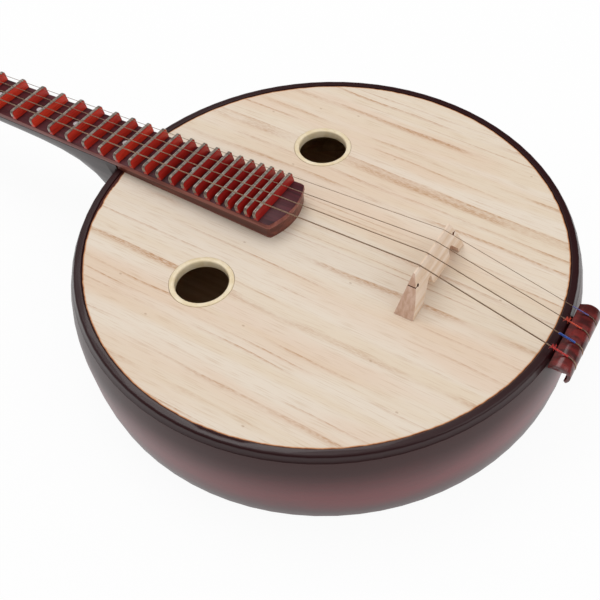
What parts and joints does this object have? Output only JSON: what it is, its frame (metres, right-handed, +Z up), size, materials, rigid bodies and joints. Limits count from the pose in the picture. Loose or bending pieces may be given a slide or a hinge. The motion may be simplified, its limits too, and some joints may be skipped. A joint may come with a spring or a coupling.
{
  "type": "zhongruan",
  "caption": "Round-bodied plucked lute with a long fretted neck, two sound holes, a raised bridge and a slotted head with tuning pegs.",
  "frame": {"origin": "centre of the back plate's outer face, on which the instrument lies", "axes": "+Z up through the soundboard, +Y along the neck towards the head, +X to the treble side"},
  "size_m": [0.4372, 0.9755, 0.1214],
  "materials": {
    "back_wood": "satin",
    "side_lacquer": "high gloss lacquer",
    "soundboard_wood": "bare, fine sanded",
    "ring": "polished",
    "fingerboard_wood": "satin",
    "neck_lacquer": "satin lacquer",
    "bone": "polished bone",
    "bridge_wood": "bare, fine sanded",
    "tail_lacquer": "high gloss lacquer",
    "fret_wood": "satin lacquer",
    "inner_wood": "bare",
    "string_wire": "wound wire",
    "peg_wood": "satin"
  },
  "bodies": {
    "instrument": {"back_plate": "back_wood", "side_frame": "side_lacquer", "rim_binding": "side_lacquer", "soundboard": "soundboard_wood", "sound_hole_ring_left": "ring", "sound_hole_ring_right": "ring", "upper_lining": "inner_wood", "lower_lining": "inner_wood", "neck_block": "inner_wood", "tail_block": "inner_wood", "upper_brace": "inner_wood", "lower_brace": "inner_wood", "fingerboard": "fingerboard_wood", "fingerboard_wedge": "fingerboard_wood", "fret_01": "fret_wood", "fret_02": "fret_wood", "fret_03": "fret_wood", "fret_04": "fret_wood", "fret_05": "fret_wood", "fret_06": "fret_wood", "fret_07": "fret_wood", "fret_08": "fret_wood", "fret_09": "fret_wood", "fret_10": "fret_wood", "fret_11": "fret_wood", "fret_12": "fret_wood", "fret_13": "fret_wood", "fret_14": "fret_wood", "fret_15": "fret_wood", "fret_16": "fret_wood", "fret_17": "fret_wood", "fret_18": "fret_wood", "fret_19": "fret_wood", "fret_20": "fret_wood", "fret_21": "fret_wood", "fret_22": "fret_wood", "fret_23": "fret_wood", "fret_24": "fret_wood", "neck": "neck_lacquer", "nut": "bone", "peg_box": "neck_lacquer", "head_ornament": "bone", "bridge": "bridge_wood", "tailpiece": "tail_lacquer", "string_1": "string_wire", "string_2": "string_wire", "string_3": "string_wire", "string_4": "string_wire"},
    "tuning_peg_1": {"peg_1": "peg_wood", "string_1_winding": "string_wire"},
    "tuning_peg_2": {"peg_2": "peg_wood", "string_2_winding": "string_wire"},
    "tuning_peg_3": {"peg_3": "peg_wood", "string_3_winding": "string_wire"},
    "tuning_peg_4": {"peg_4": "peg_wood", "string_4_winding": "string_wire"}
  },
  "joints": [
    {"name": "peg_1_turn", "type": "hinge", "parent": "instrument", "child": "tuning_peg_1", "pos_m": [0, 0.5539, 0.05867], "axis": [-1, 0, 0], "continuous": true},
    {"name": "peg_2_turn", "type": "hinge", "parent": "instrument", "child": "tuning_peg_2", "pos_m": [0, 0.61693, 0.04761], "axis": [-1, 0, 0], "continuous": true},
    {"name": "peg_3_turn", "type": "hinge", "parent": "instrument", "child": "tuning_peg_3", "pos_m": [0, 0.64845, 0.04208], "axis": [1, 0, 0], "continuous": true},
    {"name": "peg_4_turn", "type": "hinge", "parent": "instrument", "child": "tuning_peg_4", "pos_m": [0, 0.58541, 0.05314], "axis": [1, 0, 0], "continuous": true}
  ]
}
